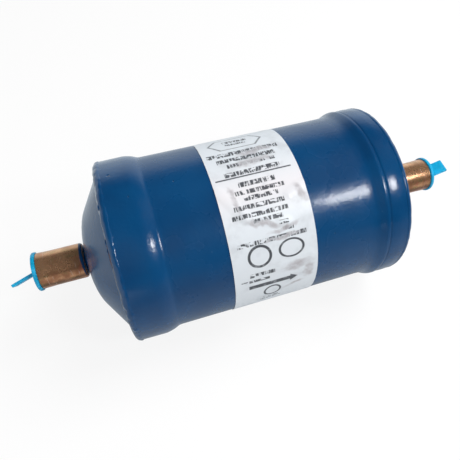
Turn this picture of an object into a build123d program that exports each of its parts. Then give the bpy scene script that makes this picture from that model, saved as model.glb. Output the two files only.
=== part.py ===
"""Hermetic liquid-line filter drier, 68 mm barrel, 12 mm solder sockets.

The axis of the drier is X and the liquid flows towards +X.  The origin is on the axis, midway
between the two ends of the steel tube, and +Z is up.  All sizes are in millimetres.
"""
import os
from math import cos, degrees, radians, sin, tan

from build123d import *

os.makedirs("parts", exist_ok=True)

# ---------------------------------------------------------------- driving dimensions
# Steel body
BARREL_DIAMETER = 68.0
BARREL_LENGTH = 106.0
SHEET = 1.6                     # wall of the tube and of the two pressed caps
INLET_RING_LENGTH = 16.0        # end of the tube that is expanded to take the cap
OUTLET_RING_LENGTH = 15.0
INLET_STEP_LENGTH = 4.6         # sloping step from the tube up to the ring
OUTLET_STEP_LENGTH = 6.4
STEP_RADIUS = 5.0
CREASE_FROM_STEP = 0.9          # mark that the expanding tool leaves on the outlet ring
CREASE_RADIUS = 0.6
CREASE_DEPTH = 0.25

# Pressed end caps
SKIRT_CLEARANCE = 0.05          # cap skirt inside the expanded ring, on radius
SKIRT_RELIEF = 2.0              # from the step to the edge of the skirt
CAP_INSET = 0.1                 # knuckle corner of the cap, inside the end of the tube
CAP_HEIGHT = 12.1
CONE_ANGLE = 58.5               # cone of the cap, from the axis
KNUCKLE_RADIUS = 3.4
CROWN_RADIUS = 20.0
WELD_STAND = 2.1                # rim weld, past the end of the tube
WELD_REACH = 3.05               # rim weld, down from the outside of the ring
WELD_TOE = 0.3
WELD_TOE_REACH = 1.9

# Copper fittings with a solder socket
SOCKET_BORE = 12.1
SOCKET_WALL = 0.75
SOCKET_LENGTH = 16.7            # outside length, from mouth to shoulder
NECK_SHOWN = 0.9                # neck between the crown of the cap and the shoulder
SHOULDER_LENGTH = 0.8
NECK_DIAMETER = 9.4
NECK_WALL = 0.8
NECK_INSIDE = 1.2               # neck past the inner face of the cap
NECK_CLEARANCE = 0.05           # neck in the hole of the cap, on radius
LEAD_IN_LENGTH = 5.0            # slight flare of the mouth
LEAD_IN_WIDENING = 0.15         # on radius
BRAZE_HEIGHT = 0.8
BRAZE_WIDTH = 1.7

# Pull-tab plugs
FLANGE_DIAMETER = 15.0
FLANGE_THICKNESS = 1.4
FLANGE_EDGE = 0.4
FLANGE_CLEARANCE = 0.05         # flange off the mouth
SPIGOT_CLEARANCE = 0.05         # spigot in the narrow end of the flare, on radius
SPIGOT_WALL = 0.9
SPIGOT_LENGTH = 4.5
TAB_LENGTH = 10.0
TAB_WIDTH = 6.0
TAB_THICKNESS = 1.2
TAB_CORNER = 0.6
TAB_TILT = 17.5                 # tab leaning from the axis
INLET_TAB_TURN = 129.0          # way the tab leans, from straight up towards the front
OUTLET_TAB_TURN = 9.0

# Label round the barrel
LABEL_WIDTH = 32.1
LABEL_MIDDLE = -0.2             # along the axis
LABEL_TOP_EDGE = -36.0          # from straight up, towards the front
LABEL_WRAP = 180.0
LABEL_THICKNESS = 0.15
LABEL_GLUE = 0.08               # film of glue under the sheet
LABEL_CORNER = 3.0

# Core and what holds it, from the outlet back to the inlet
PLATE_THICKNESS = 1.2
PLATE_HOLE = 9.0
PLATE_HOLE_PITCH = 19.0          # between the circles of holes, and round them
PLATE_HOLE_CIRCLES = 1
PLATE_CLEARANCE = 0.3
PRESSURE_PLATE_RIM = 4.0
SCREEN_THICKNESS = 0.6
FILTER_PAD_THICKNESS = 5.0
INLET_PAD_THICKNESS = 3.0
PAD_CLEARANCE = 0.3
CORE_LENGTH = 62.0
CORE_CLEARANCE = 1.0            # passage round the core
CORE_CHAMFER = 1.5
SPRING_WIRE = 2.4
SPRING_TURNS = 3
SPRING_ARCS_PER_TURN = 4
SPRING_LARGE_RADIUS = 21.0
SPRING_SMALL_RADIUS = 9.0
SPRING_SEAT_CLEARANCE = 0.1

# ---------------------------------------------------------------- sizes worked out from them
barrel_radius = BARREL_DIAMETER / 2
bore_radius = barrel_radius - SHEET
skirt_radius = bore_radius + SHEET
ring_radius = skirt_radius + SKIRT_CLEARANCE + SHEET
tube_end = BARREL_LENGTH / 2
inlet_step = tube_end - INLET_RING_LENGTH
outlet_step = tube_end - OUTLET_RING_LENGTH

knuckle = tube_end - CAP_INSET
crown = knuckle + CAP_HEIGHT
crown_corner_radius = skirt_radius - CAP_HEIGHT * tan(radians(CONE_ANGLE))
inlet_ring = inlet_step + INLET_STEP_LENGTH
outlet_ring = outlet_step + OUTLET_STEP_LENGTH
skirt_edge = max(inlet_ring, outlet_ring) + SKIRT_RELIEF

weld_nose_radius = ring_radius - WELD_REACH
weld_toe = tube_end + WELD_STAND - WELD_TOE

neck_radius = NECK_DIAMETER / 2
neck_bore = neck_radius - NECK_WALL
socket_bore_radius = SOCKET_BORE / 2
socket_radius = socket_bore_radius + SOCKET_WALL
neck_start = crown - SHEET - NECK_INSIDE
shoulder = crown + NECK_SHOWN + SHOULDER_LENGTH
mouth = shoulder + SOCKET_LENGTH
flare = mouth - LEAD_IN_LENGTH
flange_face = mouth + FLANGE_CLEARANCE
spigot_radius = socket_bore_radius - SPIGOT_CLEARANCE
spigot_end = mouth - SPIGOT_LENGTH

plate_seat = skirt_edge
outlet_screen_seat = plate_seat - PLATE_THICKNESS
filter_pad_seat = outlet_screen_seat - SCREEN_THICKNESS
core_seat = filter_pad_seat - FILTER_PAD_THICKNESS
inlet_pad_seat = core_seat - CORE_LENGTH
inlet_screen_seat = inlet_pad_seat - INLET_PAD_THICKNESS
pressure_plate_seat = inlet_screen_seat - SCREEN_THICKNESS
spring_seat = pressure_plate_seat - PLATE_THICKNESS

# Half sections are drawn on these planes: first coordinate along the axis, outwards from the
# middle of the drier, and second coordinate the radius.
outlet_half = Plane.XZ
inlet_half = Plane(origin=(0, 0, 0), x_dir=(-1, 0, 0), z_dir=(0, 1, 0))


def save(part, label):
    """Name a finished piece and write it."""
    part.label = label
    export_step(part, f"parts/{label}.step")


# ---------------------------------------------------------------- steel body
def barrel():
    """Steel tube with both ends expanded, the outlet ring longer than the inlet ring."""
    with BuildPart() as tube:
        with BuildSketch(Plane.XZ):
            with BuildLine():
                FilletPolyline(
                    (-tube_end, ring_radius),
                    (-inlet_ring, ring_radius),
                    (-inlet_step, barrel_radius),
                    (outlet_step, barrel_radius),
                    (outlet_ring, ring_radius),
                    (tube_end, ring_radius),
                    radius=STEP_RADIUS,
                )
                offset(amount=SHEET, side=Side.RIGHT)
            make_face()
            crease_place = (outlet_ring + CREASE_FROM_STEP,
                            ring_radius + CREASE_RADIUS - CREASE_DEPTH)
            with Locations(crease_place):
                Circle(CREASE_RADIUS, mode=Mode.SUBTRACT)
        revolve(axis=Axis.X)
    return tube.part


def cap_outline():
    """Outside of a cap, from the edge of its skirt to the axis."""
    return FilletPolyline(
        (skirt_edge, skirt_radius),
        (knuckle, skirt_radius),
        (crown, crown_corner_radius),
        (crown, 0),
        radius=(KNUCKLE_RADIUS, CROWN_RADIUS),
    )


def end_cap(half):
    """Pressed cap: skirt, cone and rounded crown, with the hole for the neck."""
    with BuildPart() as cap:
        with BuildSketch(half):
            with BuildLine():
                cap_outline()
                offset(amount=SHEET, side=Side.RIGHT)
            make_face()
            with Locations((crown, 0)):
                Rectangle(4 * SHEET, 2 * (neck_radius + NECK_CLEARANCE), mode=Mode.SUBTRACT)
        revolve(axis=Axis.X)
    return cap.part


def rim_weld(half):
    """Bead that joins the end of the tube to the cone of the cap."""
    with BuildPart() as weld:
        with BuildSketch(half):
            with BuildLine():
                EllipticalCenterArc((tube_end, weld_nose_radius), WELD_STAND, WELD_REACH,
                                    start_angle=0, arc_size=90)
                EllipticalCenterArc((weld_toe, weld_nose_radius), WELD_TOE, WELD_TOE_REACH,
                                    start_angle=-90, arc_size=90)
                Polyline((weld_toe, weld_nose_radius - WELD_TOE_REACH), (weld_toe, 0),
                         (tube_end, 0), (tube_end, ring_radius))
            make_face()
            with BuildLine(mode=Mode.PRIVATE) as cap_edge:
                cap_outline()
                Polyline((crown, 0), (skirt_edge, 0), (skirt_edge, skirt_radius))
            make_face(cap_edge.edges(), mode=Mode.SUBTRACT)
        revolve(axis=Axis.X)
    return weld.part


# ---------------------------------------------------------------- copper fittings
def fitting(half):
    """Copper fitting: solder socket with a slightly flared mouth, shoulder and neck."""
    with BuildPart() as copper:
        with BuildSketch(half):
            with BuildLine():
                Polyline(
                    (mouth, socket_radius + LEAD_IN_WIDENING),
                    (flare, socket_radius),
                    (shoulder, socket_radius),
                    (shoulder - SHOULDER_LENGTH, neck_radius),
                    (neck_start, neck_radius),
                    (neck_start, neck_bore),
                    (shoulder + SOCKET_WALL - SHOULDER_LENGTH, neck_bore),
                    (shoulder + SOCKET_WALL, socket_bore_radius),
                    (flare, socket_bore_radius),
                    (mouth, socket_bore_radius + LEAD_IN_WIDENING),
                    close=True,
                )
            make_face()
        revolve(axis=Axis.X)
    return copper.part


def braze_ring(half):
    """Concave ring of braze between the neck and the crown of the cap."""
    with BuildPart() as braze:
        with BuildSketch(half):
            with BuildLine():
                EllipticalCenterArc((crown + BRAZE_HEIGHT, neck_radius + BRAZE_WIDTH),
                                    BRAZE_HEIGHT, BRAZE_WIDTH, start_angle=180, arc_size=90)
                Polyline((crown + BRAZE_HEIGHT, neck_radius), (crown, neck_radius),
                         (crown, neck_radius + BRAZE_WIDTH))
            make_face()
        revolve(axis=Axis.X)
    return braze.part


def front_turn(angle):
    """Direction square to the axis, turned from straight up towards the front."""
    return Vector(0, -sin(radians(angle)), cos(radians(angle)))


def plug(half, tab_turn):
    """Moulded plug: flange, hollow spigot in the mouth, and a pull tab that leans over."""
    outwards = half.x_dir
    lean = front_turn(tab_turn)
    tab_way = outwards * cos(radians(TAB_TILT)) + lean * sin(radians(TAB_TILT))
    tab_plane = Plane(
        origin=outwards * (flange_face + FLANGE_THICKNESS / 2),
        x_dir=tab_way,
        z_dir=tab_way.cross(outwards.cross(lean)),
    )
    with BuildPart() as moulding:
        with BuildSketch(half):
            with BuildLine():
                Polyline(
                    (flange_face + FLANGE_THICKNESS, 0),
                    (flange_face + FLANGE_THICKNESS, FLANGE_DIAMETER / 2),
                    (flange_face, FLANGE_DIAMETER / 2),
                    (flange_face, spigot_radius),
                    (spigot_end, spigot_radius),
                    (spigot_end, spigot_radius - SPIGOT_WALL),
                    (flange_face, spigot_radius - SPIGOT_WALL),
                    (flange_face, 0),
                    close=True,
                )
            flange = make_face()
            rim = flange.vertices().group_by(Axis.Y)[-1]
            chamfer(rim, length=FLANGE_EDGE)
        revolve(axis=Axis.X)
        with BuildSketch(tab_plane):
            tab = Rectangle(TAB_LENGTH, TAB_WIDTH, align=(Align.MIN, Align.CENTER))
            fillet(tab.vertices().group_by(Axis.X)[-1], radius=TAB_CORNER)
        extrude(amount=TAB_THICKNESS / 2, both=True)
    return moulding.part


# ---------------------------------------------------------------- label
def label():
    """Thin sheet round the barrel, with rounded corners."""
    radial = front_turn(LABEL_TOP_EDGE)
    start = Plane(origin=(0, 0, 0), x_dir=(1, 0, 0), z_dir=Vector(1, 0, 0).cross(radial))
    with BuildPart() as sheet:
        with BuildSketch(start):
            with Locations((LABEL_MIDDLE, barrel_radius + LABEL_GLUE)):
                Rectangle(LABEL_WIDTH, LABEL_THICKNESS, align=(Align.CENTER, Align.MIN))
        revolve(axis=Axis.X, revolution_arc=LABEL_WRAP)
        corners = sheet.edges().sort_by(SortBy.LENGTH)[:4]
        fillet(corners, radius=LABEL_CORNER)
    return sheet.part


# ---------------------------------------------------------------- core and its holders
def disc(seat, thickness, radius):
    """Flat disc whose downstream face lies at seat."""
    with BuildPart() as flat:
        with BuildSketch(Plane.YZ.offset(seat)):
            Circle(radius)
        extrude(amount=-thickness)
    return flat.part


def core():
    """Moulded block of desiccant with chamfered ends."""
    with BuildPart() as block:
        with BuildSketch(Plane.YZ.offset(core_seat)):
            Circle(bore_radius - CORE_CLEARANCE)
        extrude(amount=-CORE_LENGTH)
        chamfer(block.edges().filter_by(GeomType.CIRCLE), length=CORE_CHAMFER)
    return block.part


def punch_holes():
    """Circles of holes through a plate, six more on each circle outwards."""
    Circle(PLATE_HOLE / 2, mode=Mode.SUBTRACT)
    for circle in range(1, PLATE_HOLE_CIRCLES + 1):
        with PolarLocations(circle * PLATE_HOLE_PITCH, 6 * circle):
            Circle(PLATE_HOLE / 2, mode=Mode.SUBTRACT)


def outlet_plate():
    """Punched plate held between the outlet step and the edge of the cap skirt."""
    with BuildPart() as plate:
        with BuildSketch(Plane.YZ.offset(plate_seat)):
            Circle(skirt_radius - PLATE_CLEARANCE)
            punch_holes()
        extrude(amount=-PLATE_THICKNESS)
    return plate.part


def pressure_plate():
    """Punched cup that the spring presses against the core; its rim guides it in the bore."""
    cup_radius = bore_radius - PLATE_CLEARANCE
    with BuildPart() as plate:
        with BuildSketch(Plane.YZ.offset(pressure_plate_seat)):
            Circle(cup_radius)
            punch_holes()
        extrude(amount=-PLATE_THICKNESS)
        with BuildSketch(Plane.YZ.offset(spring_seat)):
            Circle(cup_radius)
            Circle(cup_radius - PLATE_THICKNESS, mode=Mode.SUBTRACT)
        extrude(amount=-PRESSURE_PLATE_RIM)
    return plate.part


def coil_point(turn, start, end):
    """Point on the axis line of the spring's wire, after so many turns from its large end."""
    share = turn / SPRING_TURNS
    radius = SPRING_LARGE_RADIUS + (SPRING_SMALL_RADIUS - SPRING_LARGE_RADIUS) * share
    return Vector(start + (end - start) * share, 0, 0) + front_turn(360 * turn) * radius


def spring():
    """Conical compression spring from the pressure plate to the crown of the inlet cap.

    The wire follows arcs that run on smoothly from one to the next, each a part of a ring.
    """
    wire_radius = SPRING_WIRE / 2
    large_end = spring_seat - SPRING_SEAT_CLEARANCE - wire_radius
    small_end = -(crown - SHEET - SPRING_SEAT_CLEARANCE - wire_radius)
    arc_turn = 1 / SPRING_ARCS_PER_TURN
    with BuildLine() as coil:
        arc = ThreePointArc(*[coil_point(turn, large_end, small_end)
                              for turn in (0, arc_turn / 2, arc_turn)])
        for step in range(1, round(SPRING_TURNS * SPRING_ARCS_PER_TURN)):
            arc = TangentArc(arc @ 1, coil_point((step + 1) * arc_turn, large_end, small_end),
                             tangent=arc % 1)
    with BuildPart() as wire:
        for arc in coil.edges():
            with BuildSketch(Plane(origin=arc @ 0, z_dir=arc % 0)):
                Circle(wire_radius)
            revolve(axis=Axis(arc.arc_center, arc.normal()),
                    revolution_arc=degrees(arc.length / arc.radius))
    return wire.part


save(barrel(), "barrel")
for end, half, tab_turn in (("inlet", inlet_half, INLET_TAB_TURN),
                            ("outlet", outlet_half, OUTLET_TAB_TURN)):
    save(end_cap(half), f"{end}_cap")
    save(rim_weld(half), f"{end}_weld")
    save(fitting(half), f"{end}_fitting")
    save(braze_ring(half), f"{end}_braze")
    save(plug(half, tab_turn), f"{end}_plug")
save(label(), "label")
save(outlet_plate(), "outlet_plate")
save(disc(outlet_screen_seat, SCREEN_THICKNESS, bore_radius - PAD_CLEARANCE), "outlet_screen")
save(disc(filter_pad_seat, FILTER_PAD_THICKNESS, bore_radius - PAD_CLEARANCE), "filter_pad")
save(core(), "core")
save(disc(inlet_pad_seat, INLET_PAD_THICKNESS, bore_radius - PAD_CLEARANCE), "inlet_pad")
save(disc(inlet_screen_seat, SCREEN_THICKNESS, bore_radius - PAD_CLEARANCE), "inlet_screen")
save(pressure_plate(), "pressure_plate")
save(spring(), "spring")
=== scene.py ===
# %% [markdown]
# A filter drier is a welded steel can that sits in the liquid line of a cooling circuit. The solids come
# from the engineering model and already sit in their places, so this notebook loads them as a fixed
# frame, models again by hand the pieces whose looks need more than a plain solid, and gives every surface
# its finish. The can lies along X, liquid flows towards +X, Z is up, and everything is in metres. Sizes
# are typed in millimetres and multiplied by MM.

# %% Load the solids
import math

import bpy
import bmesh
from mathutils import Matrix, Vector


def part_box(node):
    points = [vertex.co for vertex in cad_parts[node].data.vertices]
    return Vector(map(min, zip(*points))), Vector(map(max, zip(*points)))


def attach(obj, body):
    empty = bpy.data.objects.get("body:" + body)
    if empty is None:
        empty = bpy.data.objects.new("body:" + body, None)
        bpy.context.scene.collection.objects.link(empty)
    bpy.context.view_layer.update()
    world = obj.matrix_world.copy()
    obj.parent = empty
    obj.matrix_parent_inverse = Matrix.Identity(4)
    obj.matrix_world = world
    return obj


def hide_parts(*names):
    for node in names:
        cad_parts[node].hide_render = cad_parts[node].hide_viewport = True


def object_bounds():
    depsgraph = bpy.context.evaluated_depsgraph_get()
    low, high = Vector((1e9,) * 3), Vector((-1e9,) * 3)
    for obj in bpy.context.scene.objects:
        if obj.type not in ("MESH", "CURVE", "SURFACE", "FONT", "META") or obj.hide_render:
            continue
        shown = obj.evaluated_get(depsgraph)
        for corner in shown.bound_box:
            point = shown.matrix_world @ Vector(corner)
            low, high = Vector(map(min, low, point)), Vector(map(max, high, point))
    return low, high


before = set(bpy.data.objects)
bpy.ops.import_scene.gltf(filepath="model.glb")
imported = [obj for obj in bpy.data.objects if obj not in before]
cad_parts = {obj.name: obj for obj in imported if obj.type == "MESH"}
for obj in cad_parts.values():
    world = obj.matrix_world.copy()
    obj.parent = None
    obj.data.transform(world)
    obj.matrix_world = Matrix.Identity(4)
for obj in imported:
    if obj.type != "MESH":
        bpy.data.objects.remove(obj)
cad_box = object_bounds()
MM = 0.001

# %% [markdown]
# The camera stands near, above and a little left of the can, so the near end looks larger. A longer lens
# from further off would flatten the two ends to one size. The small shift slides the picture in its frame
# without turning the camera, which keeps the axis at its own slant.

# %% Place the camera
camera_data = bpy.data.cameras.new("camera")
camera_data.lens = 36.363
camera_data.sensor_width = 36.0
camera_data.shift_x = -0.0319
camera_data.shift_y = -0.0268
camera_data.clip_start = 0.01
camera_data.clip_end = 20.0
camera = bpy.data.objects.new("camera", camera_data)
camera.location = (-0.041637, -0.120163, 0.146731)
camera.rotation_euler = (math.radians(41.0), 0.0, math.radians(-18.521))
bpy.context.scene.collection.objects.link(camera)
bpy.context.scene.camera = camera
bpy.context.scene.view_settings.view_transform = "Standard"
print("camera lens", round(camera_data.lens, 1), "mm")

# %% [markdown]
# Each finish is a small tree of shader nodes. Writing every node out by hand is long and hides the idea,
# so a few helpers do the plumbing: one starts a material, one fills a socket and one adds a node.


# %% Helpers for shader nodes
def start_material(name):
    """A new material, with its node tree and its surface shader."""
    material = bpy.data.materials.new(name)
    material.use_nodes = True
    return material, material.node_tree, material.node_tree.nodes["Principled BSDF"]


def fill(tree, socket, value):
    """Wires an output into a socket, or types a plain value into it."""
    if isinstance(value, bpy.types.NodeSocket):
        tree.links.new(value, socket)
    else:
        socket.default_value = value


def add(tree, kind, sockets=None, **settings):
    """A shader node of a kind, with its options set and its sockets filled."""
    node = tree.nodes.new("ShaderNode" + kind)
    for key, value in settings.items():
        setattr(node, key, value)
    for key, value in (sockets or {}).items():
        fill(tree, node.inputs[key], value)
    return node


print("helpers for nodes ready")

# %% [markdown]
# Between a pattern and a shader there is always some arithmetic: two masks are multiplied, the larger of
# two marks wins, one range of values becomes another. Each is a node, so each gets a short name.


# %% Helpers for sums and colours
def compute(tree, operation, *values):
    """One step of arithmetic on plain numbers or outputs."""
    return add(tree, "Math", dict(enumerate(values)), operation=operation).outputs[0]


def times(tree, first, second):
    """The product of two values."""
    return compute(tree, "MULTIPLY", first, second)


def minus(tree, first, second):
    """The first value less the second."""
    return compute(tree, "SUBTRACT", first, second)


def larger(tree, *values):
    """The largest of several values at each point."""
    most = values[0]
    for value in values[1:]:
        most = compute(tree, "MAXIMUM", most, value)
    return most


def ramp(tree, value, low, high, start=0.0, end=1.0):
    """Turns low..high into start..end along a smooth step, and holds still outside."""
    node = add(tree, "MapRange", {"Value": value, "From Min": low, "From Max": high,
                                  "To Min": start, "To Max": end}, interpolation_type="SMOOTHSTEP")
    return node.outputs["Result"]


def near(tree, value, middle, half, soft=0.12):
    """1 where a value is within half of the middle, with a soft edge."""
    away = compute(tree, "ABSOLUTE", minus(tree, value, middle))
    return ramp(tree, away, half + soft, half - soft)


def blend_colours(tree, share, first, second):
    """Mixes two colours by a share."""
    node = tree.nodes.new("ShaderNodeMix")
    node.data_type = "RGBA"
    fill(tree, node.inputs["Factor"], share)
    fill(tree, node.inputs[6], first)
    fill(tree, node.inputs[7], second)
    return node.outputs[2]


print("helpers for sums ready")

# %% [markdown]
# A finish never repeats and is never even, so most of it comes from clouds of noise and from spots, laid
# out in the object's own space. The scale of such a pattern is how many of its waves fit in a metre: 800
# is a grain a little over a millimetre across. A painted texture could do it too, but it would need an
# unwrapped map for every piece.


# %% Helpers for patterns
def place_of(tree):
    """The point in the object's own space."""
    return add(tree, "TexCoord").outputs["Object"]


def axes_of(tree, point):
    """The x, y and z of a point."""
    return tuple(add(tree, "SeparateXYZ", {0: point}).outputs)


def stretched(tree, point, scale):
    """The same point in a space that is longer or shorter along each axis."""
    return add(tree, "Mapping", {"Vector": point, "Scale": scale}).outputs[0]


def noise(tree, vector, scale, detail=2.0, roughness=0.5, distortion=0.0):
    """A cloudy pattern, from 0 to 1."""
    node = add(tree, "TexNoise", {"Vector": vector, "Scale": scale, "Detail": detail,
                                  "Roughness": roughness, "Distortion": distortion})
    return node.outputs["Fac"]


def spots(tree, vector, scale, size):
    """Small round spots, 1 in the middle of each."""
    node = add(tree, "TexVoronoi", {"Vector": vector, "Scale": scale})
    return ramp(tree, node.outputs["Distance"], size, 0.0)


def bumps(tree, height, depth, strength=1.0, below=None):
    """Raises a surface by a height pattern, on top of another bump where one is given."""
    sockets = {"Height": height, "Distance": depth, "Strength": strength}
    if below is not None:
        sockets["Normal"] = below
    return add(tree, "Bump", sockets).outputs["Normal"]


print("helpers for patterns ready")

# %% [markdown]
# The drier lies on a plain white floor. Strong lamps would bleach the object before the floor turned
# white, so the floor shows white by itself to the camera and keeps only a little of its own shading, for
# the soft shadow. In the gloss of the can it is dimmer, apart from a wide patch on the left: a studio is
# not lit the same all round, and an even white room would make dark enamel look like grey plastic.

# %% Floor
COOL_LIGHT = (0.84, 0.94, 1.0, 1.0)
WHITE_LIGHT = (1.0, 1.0, 1.0, 1.0)
SHOWN_BY_ITSELF = 0.85

bpy.ops.object.select_all(action="DESELECT")
bpy.ops.mesh.primitive_plane_add(size=8.0, location=(0.0, 0.0, cad_box[0].z - 0.02 * MM))
floor = bpy.context.object
floor.name = "floor"
pale, tree, surface = start_material("pale_floor")
surface.inputs["Base Color"].default_value = (0.86, 0.86, 0.86, 1.0)
surface.inputs["Roughness"].default_value = 0.95
surface.inputs["Specular IOR Level"].default_value = 0.0
rays = add(tree, "LightPath")
to_camera = rays.outputs["Is Camera Ray"]
glow = add(tree, "Emission", {"Color": blend_colours(tree, to_camera, COOL_LIGHT, WHITE_LIGHT)})
x, y, z = axes_of(tree, place_of(tree))
front = ramp(tree, y, -0.20, -0.04, 0.0, 0.45)
behind = ramp(tree, y, 0.0, 0.10, 0.0, 0.40)
left = ramp(tree, x, -0.05, -0.18, 0.0, 0.85)
in_gloss = larger(tree, compute(tree, "ADD", front, behind), left)
fill(tree, glow.inputs["Strength"], larger(tree, in_gloss, to_camera))
seen = larger(tree, to_camera, rays.outputs["Is Glossy Ray"], rays.outputs["Is Transmission Ray"])
share = times(tree, seen, SHOWN_BY_ITSELF)
mixed = add(tree, "MixShader", {0: share, 1: surface.outputs[0], 2: glow.outputs[0]})
tree.links.new(mixed.outputs[0], tree.nodes["Material Output"].inputs["Surface"])
floor.data.materials.append(pale)
print("floor at", round(cad_box[0].z / MM, 2), "mm")

# %% [markdown]
# The world behind the floor follows the same idea. The camera sees plain white. Matt surfaces get an even
# soft light. Gloss sees a pale wall behind and to the left that fades out overhead, which leaves the top
# of the can with a bright sheen along its far edge and deep blue below it.

# %% Backdrop
SOFT_LIGHT = 0.36
DARKEST_IN_GLOSS = 0.02

studio = bpy.data.worlds.new("studio")
studio.use_nodes = True
bpy.context.scene.world = studio
tree = studio.node_tree
backdrop = tree.nodes["Background"]
rays = add(tree, "LightPath")
x, y, z = axes_of(tree, add(tree, "TexCoord").outputs["Generated"])
wall = ramp(tree, z, 0.30, 0.72, 1.0, 0.04)
around = larger(tree, ramp(tree, y, -0.2, 0.3), ramp(tree, x, -0.3, -0.6))
mirrored = larger(tree, times(tree, wall, around), DARKEST_IN_GLOSS)
shiny = larger(tree, rays.outputs["Is Glossy Ray"], rays.outputs["Is Transmission Ray"])
level = add(tree, "Mix", {"Factor": shiny, "A": SOFT_LIGHT, "B": mirrored}, data_type="FLOAT").outputs[0]
fill(tree, backdrop.inputs["Strength"], larger(tree, level, rays.outputs["Is Camera Ray"]))
fill(tree, backdrop.inputs["Color"], blend_colours(tree, shiny, WHITE_LIGHT, COOL_LIGHT))
print("soft light", SOFT_LIGHT)

# %% [markdown]
# One small key lamp, front right and high, makes the sharp highlights on the enamel. Two large lamps fill
# from above and from the front left. In the gloss they would be white sheets, which real enamel doesn't
# show, so only the key is seen there.


# %% Lamps
def lamp(name, direction, distance, size, power, mirrored):
    """A square lamp of a size in metres that looks at the middle of the can."""
    data = bpy.data.lights.new(name, "AREA")
    data.shape = "SQUARE"
    data.size = size
    data.energy = power
    light = bpy.data.objects.new(name, data)
    light.location = Vector(direction).normalized() * distance
    light.rotation_euler = (-Vector(direction)).to_track_quat("-Z", "Y").to_euler()
    light.visible_glossy = mirrored
    bpy.context.scene.collection.objects.link(light)


lamp("key", (0.45, -0.60, 0.67), 0.60, 0.105, 1.0, True)
lamp("fill_above", (0.7, 0.05, 1.0), 1.0, 0.6, 8.0, False)
lamp("fill_front", (-0.5, -1.0, 0.9), 1.0, 0.6, 2.0, False)
print("lamps", [light.name for light in bpy.data.lights])

# %% [markdown]
# Most pieces of the drier are round, so one helper turns them as on a lathe. It starts from a tiny plane
# merged to one point, extrudes that point along the half section, rounds the named corners with a vertex
# bevel, and spins the line round the axis. A cylinder primitive cut and scaled to the same shape would
# need many more steps, and would round its corners less well.

# %% Lathe
SMOOTH_BELOW = math.radians(40)


def pick_points(piece, wanted):
    """Selects the vertices whose place passes a test, and nothing else."""
    bpy.ops.mesh.select_all(action="DESELECT")
    mesh = bmesh.from_edit_mesh(piece.data)
    for vertex in mesh.verts:
        vertex.select_set(wanted(vertex.co))
    mesh.select_flush_mode()
    bmesh.update_edit_mesh(piece.data)


def turn_piece(name, section, steps=192, closed=True):
    """Spins a half section round the X axis; a corner is (x, radius) or (x, radius, round), in mm."""
    points = [Vector((corner[0] * MM, 0.0, corner[1] * MM)) for corner in section]
    bpy.ops.object.select_all(action="DESELECT")
    bpy.ops.mesh.primitive_plane_add(size=0.1 * MM, location=points[0])
    bpy.ops.object.transform_apply(location=True, rotation=False, scale=False)
    bpy.ops.object.mode_set(mode="EDIT")
    bpy.ops.mesh.select_all(action="SELECT")
    bpy.ops.mesh.merge(type="CENTER")
    for here, there in zip(points, points[1:]):
        bpy.ops.mesh.extrude_region_move(TRANSFORM_OT_translate={"value": there - here})
    piece = bpy.context.object
    piece.name = piece.data.name = name
    if closed:
        bpy.ops.mesh.select_all(action="SELECT")
        bpy.ops.mesh.edge_face_add()
        bpy.ops.mesh.delete(type="ONLY_FACE")
    rounded = [(point, corner[2]) for point, corner in zip(points, section) if len(corner) == 3]
    for point, size in reversed(rounded):
        pick_points(piece, lambda place: (place - point).length < 0.02 * MM)
        bpy.ops.mesh.bevel(offset=size * MM, segments=6, affect="VERTICES")
    bpy.ops.mesh.select_all(action="SELECT")
    bpy.ops.mesh.spin(steps=steps, angle=math.tau, center=(0, 0, 0), axis=(1, 0, 0))
    bpy.ops.mesh.select_all(action="SELECT")
    bpy.ops.mesh.remove_doubles(threshold=0.002 * MM)
    bpy.ops.mesh.normals_make_consistent(inside=False)
    bpy.ops.object.mode_set(mode="OBJECT")
    bpy.ops.object.shade_smooth_by_angle(angle=SMOOTH_BELOW)
    print(name, len(piece.data.polygons), "faces")
    return piece


print("edges are smooth below", round(math.degrees(SMOOTH_BELOW)), "degrees")

# %% [markdown]
# The body is coated with gloss enamel. A flat blue would look like plastic. Sprayed enamel has a slow
# change of tone, a few hairline scratches where it was handled, and specks of dust. The scratches are
# noise stretched along the axis, kept to a few patches by a second, slower noise.

# %% Blue of the enamel
DEEP_BLUE = (0.0008, 0.040, 0.126, 1.0)
LIGHTER_BLUE = (0.0014, 0.052, 0.154, 1.0)
SCRATCHED_BLUE = (0.07, 0.15, 0.26, 1.0)
DUSTY_BLUE = (0.12, 0.20, 0.30, 1.0)

paint, tree, surface = start_material("body_paint")
point = place_of(tree)
tone = blend_colours(tree, ramp(tree, noise(tree, point, 38.0, 4.0), 0.35, 0.65), DEEP_BLUE, LIGHTER_BLUE)
hairline = noise(tree, stretched(tree, point, (60.0, 900.0, 900.0)), 1.0, 3.0, 0.6)
handled = ramp(tree, noise(tree, point, 30.0, 2.0), 0.52, 0.68)
scratched = times(tree, ramp(tree, hairline, 0.70, 0.76), handled)
dusty = ramp(tree, noise(tree, point, 55.0), 0.6, 0.7)
specks = times(tree, spots(tree, point, 170.0, 0.07), dusty)
tone = blend_colours(tree, times(tree, scratched, 0.3), tone, SCRATCHED_BLUE)
tone = blend_colours(tree, times(tree, specks, 0.5), tone, DUSTY_BLUE)
fill(tree, surface.inputs["Base Color"], tone)
print(paint.name, len(tree.nodes), "nodes")
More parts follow.
